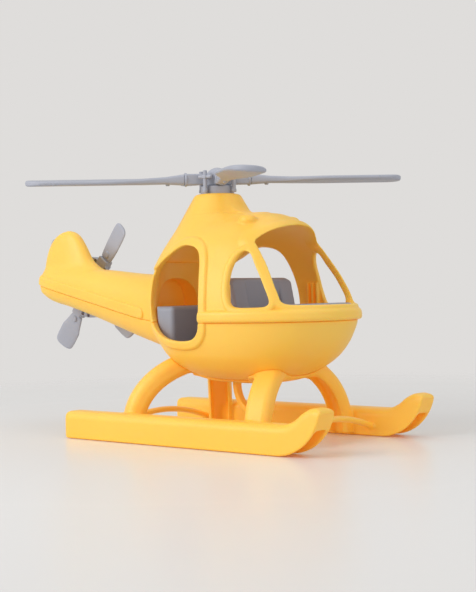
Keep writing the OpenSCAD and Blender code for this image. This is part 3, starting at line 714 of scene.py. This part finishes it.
def main_blade(points):
    """Blade number one, drawn along +X."""
    along, across, up = points[:, 0], points[:, 1], points[:, 2] - ROTOR_Z
    droop = BLADE_DROOP * np.clip((along - BLADE_ROOT) / 24, 0, 1)
    blade = MAIN_FORM(along, across, up + droop)
    # the tip is half an ellipse in plan
    tip_length, tip_half = 15.1, 10.8
    out = (along - 92.6) / tip_length
    beyond = np.maximum(out, 0)
    ring = np.hypot(beyond, across / tip_half)
    slope = np.maximum(np.hypot(beyond / tip_length, across / tip_half ** 2), 1e-4)
    tip = np.where(out > 0, (ring - 1) * ring / slope, -5)
    blade = overlap(blade, np.maximum(tip, -5), 1.6)
    blade = overlap(blade, BLADE_ROOT - along, 0.8)
    # stud below, and the pin into the head
    stud = rod(points, (28.4, 0, ROTOR_Z - 3.4), (28.4, 0, ROTOR_Z - 0.5), 1.1, 0.4)
    blade = join(blade, stud, 0.4)
    return join(blade, rod(points, (13, 0, ROTOR_Z), (22, 0, ROTOR_Z), 2.0, 0.3), 0.2)

# ------------------------------------------------------------------ tail rotor
TAIL_Y = 15.0                       # inner face of the hub
ARM_Y, TAIL_TOP = 3.8, 7.4          # arms' middle and the hub's outer face, from TAIL_Y
TAIL_ROOT = 22.4

def tail_turned(points, i):
    """Seen from arm i of the tail rotor: along it, across it, outwards from the boom."""
    x, y, z = points.T
    return turn(np.stack([x - TAIL_X, z - TAIL_Z, y - TAIL_Y], 1), 52.6 + 90 * i)

def tail_hub(points):
    first = tail_turned(points, 0)
    radius = np.hypot(first[:, 0], first[:, 1])
    height = first[:, 2]
    hub = rod(first, (0, 0, 0), (0, 0, TAIL_TOP), 6.6, 0.7)
    hub = join(hub, round_rect(radius - 17.6, height - ARM_Y, 2.0, 2.8, 0.7), 0.6)
    arms = [tail_turned(points, i) for i in range(4)]
    for arm in arms:
        hub = join(hub, round_box(arm, (4, -2.6, 1.2), (20, 2.6, 6.4), 0.7), 0.9)
        hub = join(hub, round_box(arm, (18.6, -4, 0.8), (TAIL_ROOT, 4, 6.8), 0.8), 0.8)
    # notches round the ring, outer and inner, and the blades' holes
    for arm in arms:
        for degrees in (-34, -17, 17, 34):
            notch = turn(arm, degrees)
            hub = cut(hub, round_box(notch, (17.2, -1.15, 3.4), (22, 1.15, 12), 0.3), 0.3)
            hub = cut(hub, round_box(notch, (15.9, -1.25, -4), (19.0, 1.25, 2.9), 0.3), 0.3)
        hub = cut(hub, np.maximum(np.hypot(arm[:, 1], arm[:, 2] - ARM_Y) - 1.54,
                                  14 - arm[:, 0]))
    hub = cut(hub, radius - 2.46)
    return cut(hub, np.maximum(radius - 4.02, 5.05 - height))

def tail_cap(points):
    first = tail_turned(points, 0)
    radius = np.hypot(first[:, 0], first[:, 1])
    height = first[:, 2] - TAIL_TOP
    return overlap(overlap(np.hypot(radius, height + 5) - 7.2, radius - 5.0, 0.6), -height, 0.3)

def tail_blade_form():
    x = np.array([TAIL_ROOT, 25, 28, 31, 34.4, 37, 41, 47.6])
    part = np.clip((x - TAIL_ROOT) / 12, 0, 1)
    return BladeForm(x, (9 + 5.2 * part) / 2, 1.3 - 0.2 * part, 14 * part, 2.5)

TAIL_FORM = tail_blade_form()

def tail_blade(points):
    """Tail blade number one."""
    arm = tail_turned(points, 0)
    along, across = arm[:, 0], arm[:, 1]
    blade = TAIL_FORM(along, across, arm[:, 2] - ARM_Y)
    # blunt superellipse tip
    tip_length, tip_half, power = 5.6, 7.3, 2.6
    out = (along - 42.0) / tip_length
    ring = ((np.maximum(out, 0) + 1e-6) ** power
            + (np.abs(across) / tip_half + 1e-6) ** power) ** (1 / power)
    tip = np.where(out > 0, (ring - 1) * tip_length, -4)
    blade = overlap(blade, np.maximum(tip, -4), 1.2)
    blade = overlap(blade, TAIL_ROOT - along, 0.6)
    blade = join(blade, rod(arm, (25.6, 0, 1.6), (25.6, 0, 6.0), 2.1, 0.5), 0.4)
    return join(blade, rod(arm, (14.2, 0, ARM_Y), (24, 0, ARM_Y), 1.5, 0.2), 0.2)

# ------------------------------------------------------------------ materials
class Graph:
    """A short way to write shader nodes."""
    def __init__(self, owner):
        owner.use_nodes = True
        self.tree = owner.node_tree
        self.tree.nodes.clear()

    def put(self, socket, value):
        """Link a socket, or set a value; a colour gets its alpha here."""
        if isinstance(value, bpy.types.NodeSocket):
            self.tree.links.new(value, socket)
        else:
            socket.default_value = (*value, 1) if socket.type == "RGBA" else value

    def node(self, kind, inputs=None, **settings):
        node = self.tree.nodes.new("ShaderNode" + kind)
        for key, value in settings.items():
            setattr(node, key, value)
        for key, value in (inputs or {}).items():
            self.put(node.inputs[key], value)
        return node

    def add(self, kind, inputs=None, **settings):
        """The first output of a new node."""
        return self.node(kind, inputs, **settings).outputs[0]

    def math(self, operation, first, second, clamp=False):
        return self.add("Math", {0: first, 1: second, 2: 0.0},
                        operation=operation, use_clamp=clamp)

    def noise(self, vector, scale, detail=2.0, rough=0.5):
        return self.add("TexNoise", {"Vector": vector, "Scale": scale, "Detail": detail,
                                     "Roughness": rough})

    def remap(self, value, start, end, low=0, high=1):
        return self.add("MapRange", {"Value": value, "From Min": start, "From Max": end,
                                     "To Min": low, "To Max": high}, clamp=True)

    def mix(self, factor, first, second):
        mixer = self.node("Mix", {0: factor, 6: first, 7: second}, data_type="RGBA")
        return mixer.outputs[2]

    def bump(self, strength, distance, height, **below):
        return self.add("Bump", {"Strength": strength, "Distance": distance,
                                 "Height": height, **below})

def plastic(name, base, dark, light, rough, painted_shade_colour=None):
    """Satin moulded plastic, with an optional colour painted where the surface is hidden from
    light, as painted shade and painted glow.
    """
    material = bpy.data.materials.new(name)
    graph = Graph(material)
    times = lambda first, second: graph.math("MULTIPLY", first, second)
    coords = graph.node("TexCoord").outputs["Object"]
    geometry = graph.node("NewGeometry")
    # slow colour drift, flow streaks along x, and faint specks
    slow = graph.remap(graph.noise(coords, 22.0, 3.0, 0.55), 0.35, 0.65)
    flow = graph.add("Mapping", {"Vector": coords, "Scale": (18, 60, 60)})
    flow = graph.remap(graph.noise(flow, 1.0, 4.0, 0.6), 0.35, 0.7)
    speck = graph.remap(graph.noise(coords, 2600.0, 1.0), 0.66, 0.74)
    colour = graph.mix(times(slow, 0.45), base, dark)
    colour = graph.mix(times(flow, 0.22), colour, light)
    colour = graph.mix(times(speck, 0.10), colour, dark)
    # rubbed edges: lighter and smoother, broken up by noise
    edge = graph.remap(geometry.outputs["Pointiness"], 0.515, 0.60)
    edge = times(edge, graph.remap(graph.noise(coords, 160.0, 3.0, 0.6), 0.42, 0.62))
    colour = graph.mix(times(edge, 0.15), colour, light)
    # fine handling scratches, in patches
    scratch = graph.add("Mapping", {"Vector": coords, "Rotation": (0.3, 0.7, 0.5),
                                    "Scale": (60, 1500, 1500)})
    scratch = graph.remap(graph.noise(scratch, 1.0), 0.70, 0.78)
    scratch = times(scratch, graph.remap(graph.noise(coords, 38.0), 0.52, 0.66))
    # roughness: uneven, less on rubbed edges, more on scratches
    gloss = graph.remap(graph.noise(coords, 85.0, 4.0, 0.6), 0.3, 0.7,
                        rough - 0.045, rough + 0.055)
    gloss = graph.math("SUBTRACT", gloss, times(edge, 0.07))
    gloss = graph.math("ADD", gloss, times(scratch, 0.10), clamp=True)
    # satin tool texture, a little long-wave unevenness, and the scratches
    fine = graph.noise(coords, 1900.0, 3.0, 0.6)
    wave = graph.noise(coords, 75.0, 1.0, 0.4)
    relief = graph.bump(0.16, 0.0001, fine)
    relief = graph.bump(0.25, 0.0001, wave, Normal=relief)
    relief = graph.bump(0.15, 0.00003, graph.math("SUBTRACT", 1.0, scratch), Normal=relief)
    if painted_shade_colour:
        # painted shade: where ambient occlusion finds the surface hidden, the colour is pushed
        # towards a deeper, warmer orange, standing in for shade and for light through thin
        # translucent walls
        open_sky = graph.node("AmbientOcclusion", {"Distance": 0.06}, samples=3).outputs["AO"]
        painted_shade_and_glow = graph.remap(open_sky, 0.15, 0.95, 0.95, 0)
        colour = graph.mix(times(painted_shade_and_glow, 0.75), colour, painted_shade_colour)
    shader = graph.node("BsdfPrincipled", {
        "Roughness": gloss, "Normal": relief, "Base Color": colour, "IOR": 1.47,
        "Specular IOR Level": 0.5})
    # painted glow: an orange emission in the same hidden places, standing in for light through
    # thin walls; the subsurface scattering beside it is real
    if painted_shade_colour:
        for key, value in {
                "Emission Color": (1.0, 0.30, 0.015), "Emission Strength": times(painted_shade_and_glow, 0.14),
                "Subsurface Weight": 0.30, "Subsurface Radius": (1.0, 0.34, 0.06),
                "Subsurface Scale": 0.0030}.items():
            graph.put(shader.inputs[key], value)
    graph.node("OutputMaterial", {"Surface": shader.outputs[0]})
    return material

# name: base, dark, light, roughness, painted shade colour
FINISHES = {name: plastic(name, *look) for name, look in {
    "yellow_plastic": ((0.940, 0.590, 0.096), (0.925, 0.555, 0.078), (0.955, 0.640, 0.130),
                       0.42, (0.985, 0.500, 0.036)),
    "grey_plastic": ((0.375, 0.393, 0.462), (0.345, 0.362, 0.430), (0.425, 0.442, 0.505), 0.46),
    "seat_plastic": ((0.300, 0.312, 0.368), (0.272, 0.284, 0.338), (0.345, 0.357, 0.412), 0.50),
    "hidden_plastic": ((0.30, 0.30, 0.31), (0.27, 0.27, 0.28), (0.34, 0.34, 0.35), 0.45),
}.items()}

# ------------------------------------------------------------------ pieces
def place(name, points, quads, normals, cad_piece, body, finish):
    """A mesh object from points in mm about the mast's axis."""
    points = points + np.array([MAST_X, 0, 0])
    mesh = bpy.data.meshes.new(name)
    mesh.vertices.add(len(points))
    mesh.vertices.foreach_set("co", (points * 1e-3).ravel())
    mesh.loops.add(len(quads) * 4)
    mesh.loops.foreach_set("vertex_index", quads.ravel().astype(np.int32))
    mesh.polygons.add(len(quads))
    mesh.polygons.foreach_set("loop_start", (np.arange(len(quads)) * 4).astype(np.int32))
    mesh.update(calc_edges=True)
    mesh.validate()
    mesh.polygons.foreach_set("use_smooth", np.ones(len(mesh.polygons), bool))
    mesh.normals_split_custom_set_from_vertices(normals.tolist())
    thing = bpy.data.objects.new(name, mesh)
    bpy.context.scene.collection.objects.link(thing)
    mesh.materials.append(FINISHES[finish])
    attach(thing, body)
    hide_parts(cad_piece)

def piece(name, shape, low, high, cell, cad_piece, body="airframe", finish="grey_plastic"):
    points, quads, normals = surface_net(shape, low, high, cell * COARSE)
    if body == "main_rotor":
        points, normals = leaned(points), normals @ LEAN.T
    place(name, points, quads, normals, cad_piece, body, finish)

def main_blades():
    points, quads, normals = surface_net(main_blade, (10, -15, 138), (110, 15, 152),
                                         0.42 * COARSE)
    along = points[:, 0]
    for i, (droop, bend) in enumerate(BLADE_SETS):
        angle = math.radians(ARM_ANGLES[i])
        cos, sin = math.cos(angle), math.sin(angle)
        spin = np.array([[cos, sin, 0], [-sin, cos, 0], [0, 0, 1]])
        bent = points.copy()
        bent[:, 2] += ((BLADE_DROOP - droop) * np.clip((along - 22) / 21, 0, 1)
                       + np.maximum(0, along - 30) * math.tan(math.radians(bend)))
        place(f"blade_{i + 1}", leaned(bent @ spin), quads, normals @ spin @ LEAN.T,
              f"main_blade_{i + 1}", "main_rotor", "grey_plastic")

def tail_blades():
    axis = np.array([TAIL_X, 0, TAIL_Z])
    points, quads, normals = surface_net(tail_blade, (TAIL_X - 2, 10, TAIL_Z - 2),
                                         (TAIL_X + 42, 28, TAIL_Z + 46), 0.34 * COARSE)

    def spun(vectors, angle):
        x, y, z = vectors.T
        cos, sin = math.cos(angle), math.sin(angle)
        return np.stack([x * cos - z * sin, y, x * sin + z * cos], 1)

    for i in range(4):
        angle = math.radians(90 * i)
        place(f"tail_vane_{i + 1}", spun(points - axis, angle) + axis, quads,
              spun(normals, angle), f"tail_blade_{i + 1}", "tail_rotor", "grey_plastic")

piece("upper_body", upper_shell, (-153, -53, 59), (95, 53, 140.5), 0.7, "upper_shell",
      finish="yellow_plastic")
piece("lower_body", lower_shell, (-153, -53, 28), (95, 53, 92), 0.7, "lower_shell",
      finish="yellow_plastic")
piece("gear", landing_gear, (-79, -60, -4), (114, 60, 44), 0.65, "landing_gear",
      finish="yellow_plastic")
piece("gear_pins", gear_pins, (0, -5, 29), (46, 5, 40), 0.3, "gear_rivets",
      finish="yellow_plastic")
piece("seats", seats, (-38, -46, 37.6), (88, 46, 92), 0.8, "seat_insert",
      finish="seat_plastic")
piece("collar", mast_collar, (-12, -12, 135), (12, 12, 144), 0.28, "mast_collar")
piece("links", pitch_links, (-15, -15, 135), (15, 15, 155), 0.24, "pitch_links", "main_rotor")
piece("head", rotor_head, (-21, -21, 139), (21, 21, 152), 0.26, "rotor_head", "main_rotor")
piece("head_cap", rotor_cap, (-8, -8, 147), (8, 8, 154), 0.24, "rotor_cap", "main_rotor")
main_blades()
piece("tail_head", tail_hub, (TAIL_X - 25, 12, TAIL_Z - 25), (TAIL_X + 25, 25, TAIL_Z + 25),
      0.32, "tail_hub", "tail_rotor")
piece("tail_dome", tail_cap, (TAIL_X - 7, 20, TAIL_Z - 7), (TAIL_X + 7, 27, TAIL_Z + 7),
      0.24, "tail_cap", "tail_rotor")
tail_blades()
for cad_name in ("mast_post", "mast_clip", "tail_axle", "tail_clip"):
    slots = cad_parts[cad_name].data.materials
    slots.clear()
    slots.append(FINISHES["hidden_plastic"])

# ------------------------------------------------------------------ floor, light, camera
def build_floor(radius=1.6, z=-0.0002, count=96, rings=24):
    """A disc whose rings crowd towards the middle."""
    points = [(0, 0, z)]
    for j in range(1, rings + 1):
        for i in range(count):
            angle = 2 * math.pi * i / count
            reach = radius * (j / rings) ** 1.4
            points.append((reach * math.cos(angle), reach * math.sin(angle), z))
    faces = [(0, 1 + i, 1 + (i + 1) % count) for i in range(count)]
    for j in range(rings - 1):
        for i in range(count):
            start = 1 + j * count + i
            end = 1 + j * count + (i + 1) % count
            faces.append((start, start + count, end + count, end))
    mesh = bpy.data.meshes.new("floor")
    mesh.from_pydata(points, [], faces)
    mesh.update()
    floor = bpy.data.objects.new("floor", mesh)
    bpy.context.scene.collection.objects.link(floor)
    mesh.materials.append(floor_material())

def floor_material():
    """Pale satin that fades out between two radii."""
    material = bpy.data.materials.new("pale_floor")
    graph = Graph(material)
    coords = graph.node("TexCoord").outputs["Object"]
    length = graph.node("VectorMath", {0: coords}, operation="LENGTH")
    gloss = graph.remap(graph.noise(coords, 9.0), 0.3, 0.7, 0.285, 0.305)
    satin = graph.node("BsdfPrincipled", {
        "Roughness": gloss, "Base Color": (0.762, 0.762, 0.764), "Specular IOR Level": 0.46})
    relief = graph.bump(0.01, 0.00005, graph.noise(coords, 900.0))
    graph.put(satin.inputs["Normal"], relief)
    clear = graph.add("BsdfTransparent")
    fade = graph.remap(length.outputs["Value"], 0.24, 0.52)
    mixed = graph.add("MixShader", {0: fade, 1: satin.outputs[0], 2: clear})
    graph.node("OutputMaterial", {"Surface": mixed})
    return material

def build_world():
    """Warm white light, with a flat backdrop for the camera."""
    world = bpy.data.worlds.new("studio")
    bpy.context.scene.world = world
    graph = Graph(world)
    seen = graph.node("LightPath").outputs["Is Camera Ray"]
    light = graph.add("Background", {"Color": (1.0, 0.985, 0.965), "Strength": 0.63})
    backdrop = graph.add("Background", {"Color": (0.7379, 0.7230, 0.7084), "Strength": 1.0})
    mixed = graph.add("MixShader", {0: seen, 1: light, 2: backdrop})
    graph.node("OutputWorld", {"Surface": mixed})

def softbox(name, place, target, size, power, colour=(1, 1, 1)):
    """Square area light; metres and watts."""
    light = bpy.data.lights.new(name, "AREA")
    light.shape = "RECTANGLE"
    light.size = light.size_y = size
    light.energy = power
    light.color = colour
    lamp = bpy.data.objects.new(name, light)
    bpy.context.scene.collection.objects.link(lamp)
    lamp.location = place
    lamp.rotation_euler = (Vector(target) - Vector(place)).to_track_quat("-Z", "Y").to_euler()

def build_camera(place, azimuth, elevation, roll, lens):
    camera = bpy.data.cameras.new("cam")
    holder = bpy.data.objects.new("cam", camera)
    bpy.context.scene.collection.objects.link(holder)
    azimuth, elevation, roll = (math.radians(v) for v in (azimuth, elevation, roll))
    back = Vector((math.sin(azimuth) * math.cos(elevation),
                   -math.cos(azimuth) * math.cos(elevation), math.sin(elevation)))
    right = Vector((math.cos(azimuth), math.sin(azimuth), 0))
    up = back.cross(right)
    matrix = Matrix((math.cos(roll) * right + math.sin(roll) * up,
                     -math.sin(roll) * right + math.cos(roll) * up, back))
    matrix = matrix.transposed().to_4x4()
    matrix.translation = Vector(place)
    holder.matrix_world = matrix
    camera.sensor_width = 36
    camera.sensor_fit = "AUTO"
    camera.lens = lens
    camera.clip_start = 0.01
    camera.clip_end = 20
    bpy.context.scene.camera = holder

build_floor()
build_world()
softbox("key_softbox", (-0.42, -1.15, 0.66), (0, 0, 0.06), size=0.9, power=10.8,
        colour=(1.0, 0.985, 0.96))
softbox("top_softbox", (0.0, 0.15, 1.35), (0, 0, 0.05), size=1.3, power=3.5)
softbox("side_fill", (1.15, -0.25, 0.55), (0, 0, 0.07), size=0.8, power=2.2)
build_camera((0.47704, -0.52496, 0.08127), azimuth=39.681, elevation=0.192, roll=-1.203,
             lens=73.88)
view = bpy.context.scene.view_settings
view.view_transform = "Standard"
view.look = "None"
